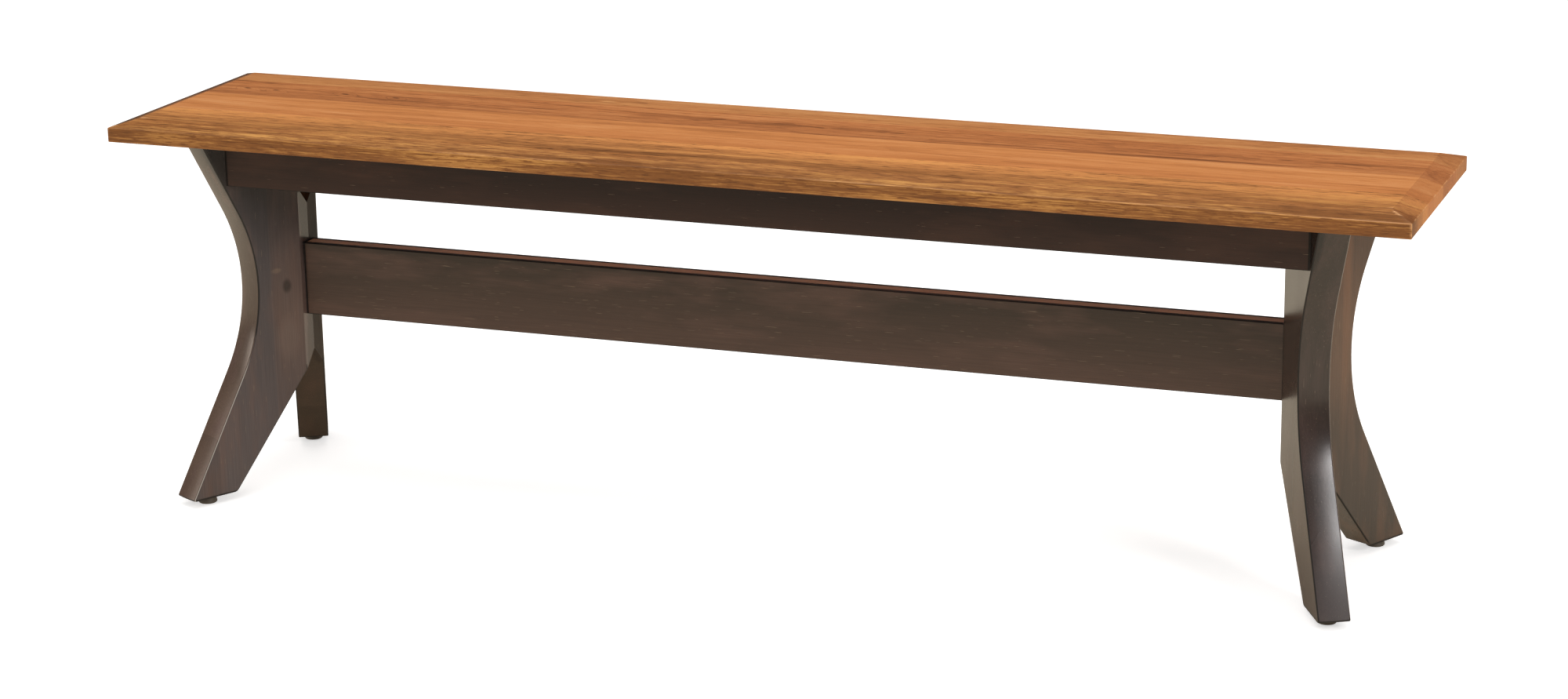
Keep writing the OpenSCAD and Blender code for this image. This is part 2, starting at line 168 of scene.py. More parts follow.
def add(tree, kind, inputs=(), out=0, **settings):
    """Adds a shader node, makes its settings, gives its inputs their values or links, in order or by
    their places and names, and returns one of its outputs. A MapRange takes, in order, its value,
    the two ends of the range that it reads and the two of the range that it gives."""
    made = tree.nodes.new("ShaderNode" + kind)
    for setting, value in settings.items():
        setattr(made, setting, value)
    for place, value in inputs.items() if isinstance(inputs, dict) else enumerate(inputs):
        if isinstance(value, bpy.types.NodeSocket):
            tree.links.new(value, made.inputs[place])
        else:
            made.inputs[place].default_value = value
    return made.outputs[out] if made.outputs else None


def emptied_tree(holder):
    """Switches on the nodes of a material or of the world and clears them for its own."""
    holder.use_nodes = True
    holder.node_tree.nodes.clear()
    return holder.node_tree


def drawn_noise(tree, vector, offset, size, octaves, roughness):
    """Noise drawn out along the grain: the place, divided by the size of a mark in metres and moved
    by an offset, goes through octaves of noise that each weigh roughness times the last."""
    drawn = add(tree, "Mapping", {"Vector": vector, "Location": offset, "Scale": [1 / s for s in size]})
    return add(tree, "TexNoise", {"Vector": drawn, "Scale": 1.0, "Detail": octaves,
                                  "Roughness": roughness})


ENDLESS = 1000.0


def reach_from(tree, vector, centre, size, turned=(0.0, 0.0, 0.0)):
    """Distance from a centre, 1 on an ellipsoid: the place is taken from the centre, turned back
    and divided by the ellipsoid's half lengths, and the length of that is the distance. A half
    length of a kilometre leaves its axis out."""
    held = add(tree, "Mapping", {"Vector": vector, "Location": centre, "Rotation": turned, "Scale": size},
               vector_type="TEXTURE")
    return add(tree, "VectorMath", [held], "Value", operation="LENGTH")


def cherry_plank(name, front, back, late, pale, edges, heart, gap, lines, flecks, streaks, seed,
                 knots=(), marks=()):
    """Planed cherry under clear satin lacquer. front and back are its colours at its two edges (y),
    late the dark wood that ends a year and pale the light wood. heart is where the tree's heart
    lies: (y, depth under the top, tilt down and tilt sideways along the plank). gap is a year's
    growth; lines, flecks and streaks are how strongly those show. knots are (x, y, radius) and marks
    are (x, y, half length, half width, strength)."""
    material = bpy.data.materials.new(name)
    tree = emptied_tree(material)
    own = add(tree, "TexCoord", out="Object")
    # patterns drawn out along the grain: name, length and width in metres, octaves. Real cherry
    # fibres are 0.1 mm wide; the finest here are 1.2 mm, so that they show from across a room
    pattern = {}
    for use, length, width, octaves in (("cloud", 0.42, 0.030, 2.0), ("band", 0.26, 0.0085, 3.0),
                                        ("fibre", 0.075, 0.0012, 4.0), ("fleck", 0.020, 0.0019, 3.0),
                                        ("wander", 0.45, 0.110, 1.0), ("ripple", 0.07, 0.020, 2.0),
                                        ("mineral", 0.22, 0.0060, 2.0)):
        size = (length, width, width if use in ("fibre", "fleck") else width * 3)
        pattern[use] = drawn_noise(tree, own, (seed, seed * 1.7, len(use) * 0.9), size, octaves, 0.6)

    # years: the distance from the tree's heart, bent where the trunk wandered and round each knot
    heart_y, depth, down, sideways = heart
    trunk = (0.0, heart_y, SEAT_TOP - depth)
    reach = reach_from(tree, own, trunk, (ENDLESS, 1.0, 1.0), (0.0, down, sideways))
    for use, bend in (("wander", 0.020), ("ripple", 0.006)):
        reach = add(tree, "Math", [pattern[use], bend, reach], operation="MULTIPLY_ADD")
    cores = []
    for x, y, radius in knots:
        near = reach_from(tree, own, (x, y, SEAT_TOP), (radius * 2.0, radius, ENDLESS), (0.0, 0.0, -0.35))
        swell = add(tree, "MapRange", [near, 0.4, 4.5, 0.012, 0.0], interpolation_type="SMOOTHSTEP")
        reach = add(tree, "Math", [reach, swell], operation="ADD")
        ragged = add(tree, "Math", [pattern["ripple"], 1.6, near], operation="MULTIPLY_ADD")
        cores.append(add(tree, "MapRange", [ragged, 1.2, 2.1, 0.6, 0.0], interpolation_type="SMOOTHSTEP"))
    years = add(tree, "Math", [reach, gap], operation="DIVIDE")
    season = add(tree, "Math", [years], operation="FRACT")
    year = add(tree, "Math", [years], operation="FLOOR")
    chance = add(tree, "TexWhiteNoise", {"W": year}, noise_dimensions="1D")
    late_wood = add(tree, "MapRange", [season, 0.45, 0.96], interpolation_type="SMOOTHSTEP")
    late_wood = add(tree, "Math", [late_wood, chance], operation="MULTIPLY")

    # shade: below 0 towards the late wood's colour, above 0 towards the pale wood's
    shade = 0.0
    for use, low, high, at_low, at_high in (
            ("cloud", 0.3, 0.7, -0.30, 0.30), ("band", 0.3, 0.7, -0.27, 0.27),
            ("fibre", 0.3, 0.7, -0.42, 0.42), ("fleck", 0.54, 0.66, 0.0, -flecks),
            ("fleck", 0.42, 0.30, 0.0, flecks * 0.5), ("mineral", 0.60, 0.72, 0.0, -streaks)):
        part = add(tree, "MapRange", [pattern[use], low, high, at_low, at_high])
        shade = add(tree, "Math", [shade, part], operation="ADD")
    shade = add(tree, "Math", [late_wood, -lines, shade], operation="MULTIPLY_ADD")
    # marks: dark gum lines (strength below 0) and pale scars (above 0), ragged along the fibres
    for x, y, half_length, half_width, strength in marks:
        near = reach_from(tree, own, (x, y, 0.0), (half_length, half_width, ENDLESS))
        ragged = add(tree, "Math", [pattern["band"], 3.0, near], operation="MULTIPLY_ADD")
        part = add(tree, "MapRange", [ragged, 1.6, 2.7, strength, 0.0], interpolation_type="SMOOTHSTEP")
        shade = add(tree, "Math", [shade, part], operation="ADD")
    # end grain shows the fibres as points, so the pattern is fainter there
    end_way = add(tree, "SeparateXYZ", [add(tree, "NewGeometry", out="Normal")], "X")
    facing = add(tree, "Math", [end_way], operation="ABSOLUTE")
    fainter = add(tree, "MapRange", [facing, 0.0, 1.0, 1.0, 0.45])
    shade = add(tree, "Math", [shade, fainter], operation="MULTIPLY")
    lighter = add(tree, "MapRange", [shade, 0.0, 1.0])
    darker = add(tree, "MapRange", [shade, 0.0, -1.0])
    across = add(tree, "SeparateXYZ", [own], "Y")
    place = add(tree, "Math", [pattern["cloud"], 0.03, across], operation="MULTIPLY_ADD")
    place = add(tree, "MapRange", [place, edges[0] + 0.015, edges[1] + 0.015])

    # the arris attribute is 1 along the arrises, 1.6 on the mitres and 1.8 at the upright corners:
    # there the wood is drawn lighter in dashes and the lacquer duller, partly wear rubbed by hands and
    # partly a painted highlight, and on the mitres only a painted highlight
    worn_and_highlight = add(tree, "Attribute", out="Fac", attribute_name="arris")
    dashes = add(tree, "MapRange", [pattern["band"], 0.50, 0.62, 0.03, 0.65])
    rubbed_and_highlight = add(tree, "Math", [worn_and_highlight, dashes], operation="MULTIPLY")
    # painted shade: the bevel at the left end darkens towards its rim; the surface has to slope towards
    # that end, and the upright end face is left out
    along = add(tree, "SeparateXYZ", [own], "X")
    rim = add(tree, "MapRange", [along, -0.733, -0.748, 0.0, 0.78])
    for none, all_of_it in ((-0.10, -0.25), (-0.97, -0.85)):
        part = add(tree, "MapRange", [end_way, none, all_of_it])
        rim = add(tree, "Math", [rim, part], operation="MULTIPLY")
    # the right end's bevel is drawn a little darker and redder than the flat
    sloping = add(tree, "MapRange", [end_way, 0.12, 0.22, 0.0, 0.23])
    upright = add(tree, "MapRange", [end_way, 0.5, 0.8, 1.0, 0.0])
    sloping = add(tree, "Math", [sloping, upright], operation="MULTIPLY")
    colour = linear(front)
    # the left bevel's rim colour mixed in here is painted shade
    for amount, tint in ((place, back), (lighter, pale), (darker, late),
                         *((core, "#4a2a17") for core in cores),
                         (rubbed_and_highlight, "#d39d6a"), (rim, "#33201a"), (sloping, "#743c20")):
        colour = add(tree, "Mix", {0: amount, 6: colour, 7: linear(tint)}, 2, data_type="RGBA")

    # end grain drinks the lacquer and stays as dull as the rubbed arrises
    rough = add(tree, "MapRange", [pattern["band"], 0.3, 0.7, 0.37, 0.47])
    for duller in (facing, worn_and_highlight):
        rough = add(tree, "Mix", {0: duller, 2: rough, 3: 0.60}, data_type="FLOAT")
    relief = add(tree, "Math", [pattern["fleck"], 0.5, pattern["fibre"]], operation="MULTIPLY_ADD")
    bump = add(tree, "Bump", {"Height": relief, "Strength": 0.2, "Distance": 0.0004})
    surface = add(tree, "BsdfPrincipled", {"Base Color": colour, "Roughness": rough, "Normal": bump,
                                           "Specular IOR Level": 0.3})
    add(tree, "OutputMaterial", {"Surface": surface})
    return material


# Cherry under a clear satin lacquer: warm orange brown, long straight fibres with soft arches,
# each plank from another board and so of another tone. The front board is the most flecked and the
# brownest, where it darkens towards its front edge; that darkening is painted shade on the edge
# face, bevel and front of the flat. The third has four pin knots near its left end and dark mineral
# streaks.
CHERRY_BOARDS = (
    ("front_plank", "seat_front_wood",
     # painted shade: this front colour darkens the seat's front edge face, bevel and the front of the flat
     dict(front="#7d4c21", back="#d58b4c", late="#5f3716", pale="#d69b52",
          heart=(-0.150, 0.075, 0.010, 0.015), gap=0.0050, lines=0.25, flecks=0.75, streaks=0.30,
          seed=0.0)),
    ("second_plank", "seat_second_wood",
     dict(front="#c37a41", back="#c77f45", late="#96592c", pale="#d89c66",
          heart=(-0.035, 0.085, -0.012, 0.010), gap=0.0060, lines=0.23, flecks=0.30, streaks=0.0,
          seed=3.3, marks=[(-0.30, -0.045, 0.10, 0.0015, -0.45), (0.05, -0.052, 0.07, 0.0016, -0.5)])),
    ("third_plank", "seat_third_wood",
     dict(front="#b16c3a", back="#b8703c", late="#784623", pale="#d0935b",
          heart=(0.058, 0.060, 0.014, -0.010), gap=0.0045, lines=0.42, flecks=0.55, streaks=0.8,
          seed=7.9, knots=[(-0.6995, 0.0538, 0.0030), (-0.6603, 0.0517, 0.0024),
                           (-0.5705, 0.0562, 0.0030), (-0.5022, 0.0541, 0.0025)],
          marks=[(-0.36, 0.050, 0.07, 0.0014, -0.5), (0.03, 0.066, 0.08, 0.0013, -0.6),
                 (0.16, 0.043, 0.09, 0.0016, -0.7), (0.30, 0.029, 0.11, 0.0024, -0.6),
                 (0.53, 0.023, 0.19, 0.0042, -0.6)])),
    ("back_plank", "seat_back_wood",
     dict(front="#bd7a43", back="#b27240", late="#84512a", pale="#d09a62",
          heart=(0.120, 0.090, 0.010, 0.012), gap=0.0055, lines=0.40, flecks=0.55, streaks=0.35,
          seed=12.7, marks=[(-0.253, 0.112, 0.012, 0.0045, 0.8)])))
for (plank, slot, look), front_y, back_y in zip(CHERRY_BOARDS, PLANK_EDGES, PLANK_EDGES[1:]):
    cherry = cherry_plank(plank + "_cherry", edges=(front_y, back_y), **look)
    board = make_plank("seat_" + plank, front_y, back_y, cherry)
    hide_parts(plank)
    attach(board, "bench")


# Legs: two maple boards to a trestle, glued up from staves, swung 28 degrees out of the bench's
# cross line and mitred and dowelled together there. The outer edge is sawn hollow, all arrises are
# eased by hand, and the outer valley is counterbored for the stretcher's two bolts.
SWING = math.radians(28)
FLAT_X, FLAT_WIDTH, BOARD_THICK = 0.599, 0.0445, 0.0365
BOARD_HEIGHT, FOOT_Z = 0.4295, 0.010
JOINT_Z, JOINT_HALF, CROTCH = 0.2415, 0.0835, math.radians(39.5)
WAIST_Z, WAIST, HOLLOW = 0.2435, 0.087, 0.212
FOOT_LEAN, ARM_LEAN = math.radians(29.2), math.radians(26.4)
EASED, FOOT_EASED, CROWN = 0.0018, 0.0025, 0.0009
FOLD_X = FLAT_X - math.tan(SWING) * FLAT_WIDTH / 2
# levels through an easing and between the two; rows of a leg's foot, joint and arm
EASING, BETWEEN = 6, 9
FOOT_ROWS, JOINT_ROWS, ARM_ROWS = 24, 26, 21
# a painted bright hairline highlight along an arris starts below this height and fades in over this
# distance
HIGHLIGHT_BELOW, HIGHLIGHT_FADE = 0.195, 0.05
INSERT_ALONG, INSERT_UNDER, INSERT_RADIUS, INSERT_BORE = 0.16135, 0.004, 0.0096, 0.0056
BOLT_HEIGHTS, BOLT_SEAT_X, BOLT_SEAT_RADIUS, BOLT_SEAT_BORE = (0.2295, 0.2735), 0.620, 0.0113, 0.05
ROD_SIDES = 64


def outer_edge(height, eased):
    """How far out the hollow edge lies at a height: a circle round the waist, and below and above
    it the circle's tangents. Easing by e lifts the circle's radius by e and moves the lines in."""
    up = height - WAIST_Z
    lean = np.where(up < 0, FOOT_LEAN, ARM_LEAN)
    far, radius = abs(up), HOLLOW + eased
    bend = radius * np.sin(lean)
    circle = WAIST + HOLLOW - np.sqrt(radius ** 2 - np.minimum(far, bend) ** 2)
    return circle + np.maximum(far - bend, 0) * np.tan(lean)


def board_frame(side, face, along, deep, height):
    """Point of a leg board from its own measures: along it from the fold, deep from its inner face."""
    return np.stack([side * (FOLD_X + along * math.sin(SWING) + deep * math.cos(SWING)),
                     face * (along * math.cos(SWING) - deep * math.sin(SWING)), FOOT_Z + height], -1)


def rows_between(low, high, count):
    """Heights in even steps from low, which is left out, up to high."""
    return low + np.linspace(0, 1, count)[1:, None] * (high - low)


def make_leg(name, side, face, painted_hairline_weight, material):
    """A leg board: an outline of inner and outer edge at 74 heights, carried through the board's
    thickness in levels; the first and last levels are set in on a quarter circle to ease the edge,
    and the outer edge falls away from its middle by the crown times the distance squared. The arris
    value it keeps is the sine of twice the angle over an easing, below 0 on the far arris of the outer
    edge for wear and a painted highlight, and where the hairline weight is 1 it drops to -2 on the
    middle of the near one, from the waist down, for a painted bright hairline highlight."""
    quarter = np.radians(np.linspace(90, 0, EASING))
    flat_end = (FLAT_X - FOLD_X) * math.cos(SWING)
    middle = np.sort(np.append(np.linspace(0.006, BOARD_THICK - 0.005, BETWEEN - 1), flat_end))
    near_side = EASED * (1 - np.sin(quarter))
    deep = np.concatenate([near_side, middle, BOARD_THICK - near_side[::-1]])
    tucked = EASED * (1 - np.cos(quarter))
    eased = np.concatenate([tucked, np.zeros(BETWEEN), tucked[::-1]])
    rub_and_highlight = np.concatenate([np.sin(2 * quarter), np.zeros(BETWEEN), -np.sin(2 * quarter)])
    # the fold side is the flat for the stretcher as far as flat_end, and the mitre beyond it
    fold = np.maximum((math.tan(SWING) * FLAT_WIDTH / 2 - deep * math.cos(SWING)) / math.sin(SWING),
                      deep * math.tan(SWING))
    reach = (fold - eased / math.cos(CROTCH)) / math.tan(CROTCH)
    crotch, notch = JOINT_Z - JOINT_HALF - reach, JOINT_Z + JOINT_HALF + reach
    foot = FOOT_EASED * (1 - np.sin(quarter))[:, None]
    height = np.concatenate([np.broadcast_to(foot, (EASING, len(deep))),
                             rows_between(FOOT_EASED, crotch, FOOT_ROWS),
                             rows_between(crotch, notch, JOINT_ROWS),
                             rows_between(notch, BOARD_HEIGHT, ARM_ROWS)])
    tuck = np.zeros_like(height)
    tuck[:EASING] = (FOOT_EASED * (1 - np.cos(quarter)))[:, None]
    leaning = (abs(height - JOINT_Z) - JOINT_HALF) * math.tan(CROTCH) + eased / math.cos(CROTCH)
    inner = np.maximum(leaning, fold) + tuck
    outer = outer_edge(height, eased) - tuck - CROWN * (2 * deep / BOARD_THICK - 1) ** 2
    depth = np.broadcast_to(deep, height.shape)
    sides = np.concatenate([board_frame(side, face, inner, depth, height),
                            board_frame(side, face, outer, depth, height)[:, ::-1]], 1)
    rows, loop = sides.shape[:2]
    number = np.arange(rows * loop).reshape(rows, loop)
    low, high = number[:-1], number[1:]
    skin = np.stack([low, high, np.roll(high, -1, 1), np.roll(low, -1, 1)], -1).reshape(-1, 4)
    near, far = number[:, :loop // 2], number[:, loop // 2:][:, ::-1]
    sole = np.stack([near[0, :-1], near[0, 1:], far[0, 1:], far[0, :-1]], -1)
    head = np.stack([near[-1, :-1], far[-1, :-1], far[-1, 1:], near[-1, 1:]], -1)
    faces = np.concatenate([skin, sole, head])
    if side * face > 0:
        faces = faces[:, ::-1]
    leg = make_piece(name, sides.reshape(-1, 3), [faces], material, 24)
    wear_and_light = np.broadcast_to(rub_and_highlight, height.shape).copy()
    wear_and_light[:EASING] = np.maximum(wear_and_light[:EASING], np.sin(2 * quarter)[:, None])
    # painted bright hairline highlight: the near arris's middle drops to -2 from the waist down
    wear_and_light[:, 2:4] -= 3 * painted_hairline_weight * np.clip((HIGHLIGHT_BELOW - height[:, 2:4]) / HIGHLIGHT_FADE, 0, 1)
    at_fold = np.concatenate([leaning < fold, np.zeros_like(leaning, bool)[:, ::-1]], 1)
    keep_wear_and_light(leg, np.where(at_fold, 0, np.concatenate([abs(wear_and_light), wear_and_light[:, ::-1]], 1)))
    return leg


def bore(piece, start, along, radius, length):
    """Bores a round hole: takes a 64-sided rod of that radius out of the piece, from start along."""
    turn = np.linspace(0, 2 * np.pi, ROD_SIDES, endpoint=False)
    ring = np.stack([radius * np.cos(turn), radius * np.sin(turn), np.zeros(ROD_SIDES)], -1)
    number = np.arange(ROD_SIDES)
    after = np.roll(number, -1)
    wall = np.stack([number, after, after + ROD_SIDES, number + ROD_SIDES], -1)
    ends = [number[::-1].tolist(), (number + ROD_SIDES).tolist()]
    mesh = bpy.data.meshes.new("bit")
    mesh.from_pydata(np.concatenate([ring, ring + (0, 0, length)]).tolist(), [], wall.tolist() + ends)
    mesh.transform(set_up(start, Vector(along), "Z"))
    bit = in_scene("bit", mesh)
    cut = piece.modifiers.new("bore", "BOOLEAN")
    cut.operation, cut.solver, cut.object = "DIFFERENCE", "EXACT", bit
    bpy.context.view_layer.update()
    bored = bpy.data.meshes.new_from_object(piece.evaluated_get(bpy.context.evaluated_depsgraph_get()))
    piece.modifiers.clear()
    piece.data = bored
    bored.set_sharp_from_angle(angle=math.radians(24))
    bpy.data.objects.remove(bit)


def even_sheen(piece):
    """Lets the wide flat faces set the shading at their edges, so that the easing beside them
    doesn't bend the light on them."""
    sheen = piece.modifiers.new("even_sheen", "WEIGHTED_NORMAL")
    sheen.keep_sharp, sheen.weight = True, 90


def finished_board(name, low, high, painted_shade_span, red, grain, seed, turn=0.0, inner_face=0.0, fold=0.0,
                   staves=(0.0, 0.0, 0.0), patches=(), polish=0.24, gloss=0.45, scuffed=0.0, hollow=None):
    """A close-grained board, stained or unstained. low and high are its colours at the two heights
    given, and the change between them with height is painted shade and light; red is the colour of
    the blotches where the stain sank in less. grain is the axis the fibres run along. turn,
    inner_face and fold lay a leg board so that its x is the depth under its inner face and its y the
    distance from the fold. staves are (width, place of a joint, tone step). patches are (depth,
    across, along, half width, half length, colour, strength, softness). Below scuffed the finish has
    been worn dull. hollow is (low, high, way): the colours of a leg's sawn edge and the way that it
    faces."""
    material = bpy.data.materials.new(name)
    tree = emptied_tree(material)
    own = add(tree, "TexCoord", out="Object")
    board = add(tree, "Mapping", {"Vector": own, "Location": (-inner_face, -fold, 0.0),
                                  "Rotation": (0.0, 0.0, turn)})
    side_axis = 1 if grain == 2 else 2
    # patterns drawn out along the grain: name, length and width in metres, octaves. Maple's pores
    # are too fine to see; its fibres are drawn 1.2 mm wide so that they just show
    pattern = {}
    for use, length, width, octaves in (("blotch", 0.15, 0.034, 3.0), ("cloud", 0.45, 0.06, 2.0),
                                        ("fibre", 0.07, 0.0012, 4.0), ("scratch", 0.016, 0.0007, 0.0)):
        size = [width] * 3
        size[grain] = length
        offset = (seed, seed * 1.7, seed * 0.6 + len(use))
        pattern[use] = drawn_noise(tree, board, offset, size, octaves, 0.55)
    upward = add(tree, "SeparateXYZ", [board], "Z")
    # painted shade and light: the colour goes from low to high with height
    height = add(tree, "MapRange", [upward, *painted_shade_span])
    colour = add(tree, "Mix", {0: height, 6: linear(low), 7: linear(high)}, 2, data_type="RGBA")
    if hollow:
        sawn_low, sawn_high, outward = hollow
        normal = add(tree, "NewGeometry", out="Normal")
        way = add(tree, "VectorMath", [normal, outward], "Value", operation="DOT_PRODUCT")
        sawn = add(tree, "MapRange", [way, 0.55, 0.75])
        edge = add(tree, "Mix", {0: height, 6: linear(sawn_low), 7: linear(sawn_high)}, 2, data_type="RGBA")
        colour = add(tree, "Mix", {0: sawn, 6: colour, 7: edge}, 2, data_type="RGBA")
    thin_stain = add(tree, "MapRange", [pattern["blotch"], 0.47, 0.68, 0.0, 0.8])
    colour = add(tree, "Mix", {0: thin_stain, 6: colour, 7: linear(red)}, 2, data_type="RGBA")
    for depth, across, along, half_width, half_length, patch_colour, strength, softness in patches:
        at, size = [depth] * 3, [0.008] * 3
        at[side_axis], at[grain], size[side_axis], size[grain] = across, along, half_width, half_length
        near = reach_from(tree, board, at, size)
        ragged = add(tree, "Math", [pattern["blotch"], 2 * softness, near], operation="MULTIPLY_ADD")
        amount = add(tree, "MapRange", [ragged, 1.0, 1 + 2 * softness, strength, 0.0],
                     interpolation_type="SMOOTHSTEP")
        colour = add(tree, "Mix", {0: amount, 6: colour, 7: linear(patch_colour)}, 2, data_type="RGBA")

    # tone: darker and lighter clouds, fibres and staves
    tone = 1.0
    for use in ("cloud", "fibre"):
        part = add(tree, "MapRange", [pattern[use], 0.3, 0.7, 0.88, 1.12])
        tone = add(tree, "Math", [tone, part], operation="MULTIPLY")
    stave_width, joint, step = staves
    if stave_width:
        stave = add(tree, "SeparateXYZ", [board], side_axis)
        for operation, value in (("SUBTRACT", joint), ("DIVIDE", stave_width), ("FLOOR", 0.0),
                                 ("ADD", seed)):
            stave = add(tree, "Math", [stave, value], operation=operation)
        chance = add(tree, "TexWhiteNoise", {"W": stave}, noise_dimensions="1D")
        part = add(tree, "MapRange", [chance, 0.0, 1.0, 1 - step, 1 + step])
        tone = add(tree, "Math", [tone, part], operation="MULTIPLY")
    colour = add(tree, "VectorMath", {0: colour, "Scale": tone}, operation="SCALE")

    # the arris attribute is 1 in the middle of an eased edge, drawn nearly black and dull, and this
    # dark at a rail's ends is painted shade where it meets the legs; -1 on the outer arrises, drawn
    # lighter and glossy, partly wear rubbed by hands and partly a painted highlight; and -2 where an
    # arris carries a painted bright hairline highlight
    edge = add(tree, "Attribute", out="Fac", attribute_name="arris")
    thick = add(tree, "MapRange", [edge, 0.15, 0.6, 0.0, 0.95])
    rubbed_and_highlight = add(tree, "MapRange", [edge, -0.2, -0.9])
    lighter = add(tree, "Math", [rubbed_and_highlight, 0.25], operation="MULTIPLY")
    painted_hairline = add(tree, "MapRange", [edge, -1.1, -2.0, 0.0, 0.7])
    scratches = add(tree, "MapRange", [pattern["scratch"], 0.80, 0.83, 0.0, 0.35])
    for amount, tint in ((scratches, "#927e68"), (thick, "#0c0705"), (lighter, "#8d8078"),
                         (painted_hairline, "#c4beb6")):
        colour = add(tree, "Mix", {0: amount, 6: colour, 7: linear(tint)}, 2, data_type="RGBA")

    rough = add(tree, "MapRange", [pattern["cloud"], 0.3, 0.7, polish - 0.03, polish + 0.05])
    finishes = [(thick, 0.6), (rubbed_and_highlight, 0.14)]
    if scuffed:
        finishes.append((add(tree, "MapRange", [upward, scuffed + 0.045, scuffed - 0.045],
                             interpolation_type="SMOOTHSTEP"), 0.46))
    for amount, roughness in finishes:
        rough = add(tree, "Mix", {0: amount, 2: rough, 3: roughness}, data_type="FLOAT")
    bump = add(tree, "Bump", {"Height": pattern["fibre"], "Strength": 0.15, "Distance": 0.0003})
    surface = add(tree, "BsdfPrincipled", {"Base Color": colour, "Roughness": rough, "Normal": bump,
                                           "Specular IOR Level": gloss})
    add(tree, "OutputMaterial", {"Surface": surface})
    return material


# Maple stained espresso under the same satin lacquer: nearly black in shade, blotched with redder
# patches where the stain sank in less, with the tone steps of its staves and another tone on the
# sawn hollow edge, each board darker or lighter towards its top as painted shade and light. The
# left boards carry painted shade in the notch and crotch by the fold, the front ones a painted
# shadow near the outer edge between seat and apron, the left front one painted shade at the top of
# its inner face and the left back one the stretcher's painted shadow. The left front board shows a
# small knot under a paler patch and a painted bright hairline highlight along an arris, the left
# back one is less polished, the right front one is scuffed at its foot, and the right back one has
# a long paler streak.
LEG_BOARDS = (
    # the fourth column weights a painted bright hairline highlight along an arris
    ("left_front_leg", -1, -1, 1, ("#604d42", "#392e26"), 0.067,
     dict(low="#524949", high="#423e41", red="#5d4943", seed=2.0),
     [(0.0, 0.0, 0.225, 0.068, 9.0, "#63514c", 0.35, 0.02),
      # painted shade under the seat at the top of the inner face
      (0.0, 0.060, 0.420, 0.130, 0.095, "#1f1b1d", 0.72, 0.6),
      (0.0, 0.038, 0.215, 0.026, 0.085, "#6c564c", 0.35, 0.5),
      (0.0, 0.0462, 0.2480, 0.0055, 0.0075, "#2b2220", 0.8, 0.5),
      (0.0, 0.0600, 0.2690, 0.0060, 0.0030, "#86725f", 0.35, 0.5),
      # painted shade in the notch and the crotch beside the fold
      (0.005, 0.006, 0.345, 0.016, 0.110, "#1f1712", 0.8, 0.2),
      (0.005, 0.006, 0.150, 0.016, 0.075, "#2a211b", 0.6, 0.2),
      (0.0, 0.048, 0.185, 0.015, 0.026, "#78665d", 0.35, 0.5),
      # painted shadow between seat and apron, near the outer edge at the top
      (0.0, 0.145, 0.412, 0.028, 0.045, "#141010", 0.8, 0.3)]),
    ("left_back_leg", -1, 1, 0, ("#43362b", "#372b22"), 0.0,
     dict(low="#43362b", high="#372b22", red="#4b3a2f", seed=5.7, polish=0.52, gloss=0.22),
     # painted shadow of the stretcher, then painted shade in the notch and the crotch beside the fold
     [(0.0, 0.040, 0.305, 0.060, 0.014, "#120e0c", 0.85, 0.3),
      (0.005, 0.008, 0.345, 0.018, 0.110, "#1f1712", 0.8, 0.2),
      (0.005, 0.008, 0.150, 0.018, 0.075, "#2a211b", 0.6, 0.2)]),
    ("right_front_leg", 1, -1, 0, ("#382d2a", "#312924"), 0.03,
     dict(low="#3d302c", high="#382f29", red="#463733", seed=9.1, scuffed=0.055),
     # painted shadow between seat and apron, near the outer edge at the top
     [(0.0, 0.142, 0.412, 0.030, 0.045, "#120d0b", 0.85, 0.3)]),
    ("right_back_leg", 1, 1, 0, ("#3a3029", "#523c2f"), 0.052,
     dict(low="#3a3029", high="#523c2f", red="#5b4132", seed=12.9),
     [(BOARD_THICK, 0.075, 0.262, 0.050, 0.065, "#705442", 0.55, 0.6),
      (BOARD_THICK, 0.074, 0.310, 0.006, 0.120, "#7d573f", 0.5, 0.8),
      (BOARD_THICK, 0.060, 0.390, 0.012, 0.060, "#76523d", 0.5, 0.8),
      (BOARD_THICK, 0.118, 0.345, 0.0020, 0.0050, "#a58468", 0.6, 0.5),
      (BOARD_THICK, 0.112, 0.333, 0.0016, 0.0040, "#a58468", 0.6, 0.5)]))
for leg_name, side, face, painted_hairline_weight, sawn, joint, look, patches in LEG_BOARDS:
    stained = finished_board(
        leg_name + "_stained_maple", painted_shade_span=(0.03, 0.40), grain=2,
        turn=math.pi / 2 - math.atan2(face * math.cos(SWING), side * math.sin(SWING)),
        inner_face=side * face * FOLD_X * math.cos(SWING), fold=FOLD_X * math.sin(SWING),
        staves=(0.043, joint, 0.10), patches=[(side * face * patch[0], *patch[1:]) for patch in patches],
        hollow=(*sawn, (side * math.sin(SWING), face * math.cos(SWING), 0.0)), **look)
    leg = make_leg("trestle_" + leg_name, side, face, painted_hairline_weight, stained)
    foot_middle = board_frame(side, face, INSERT_ALONG, BOARD_THICK / 2, 0.0)
    bore(leg, tuple(foot_middle - (0, 0, INSERT_UNDER)), (0, 0, 1), INSERT_RADIUS, INSERT_BORE)
    for bolt_z in BOLT_HEIGHTS:
        bore(leg, (side * BOLT_SEAT_X, 0.0, bolt_z), (side, 0, 0), BOLT_SEAT_RADIUS, BOLT_SEAT_BORE)
    even_sheen(leg)
    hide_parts(leg_name)
    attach(leg, "bench")


# Aprons: a stained maple board on edge under the seat at the front and at the back, with its ends
# cut to the legs' swing and dowelled into them. The two lower arrises are eased.
APRON_Y, APRON_THICK, APRON_LOW = 0.0965, 0.022, 0.3825
RAIL_EASED, RAIL_SHARP = 0.0012, 0.02


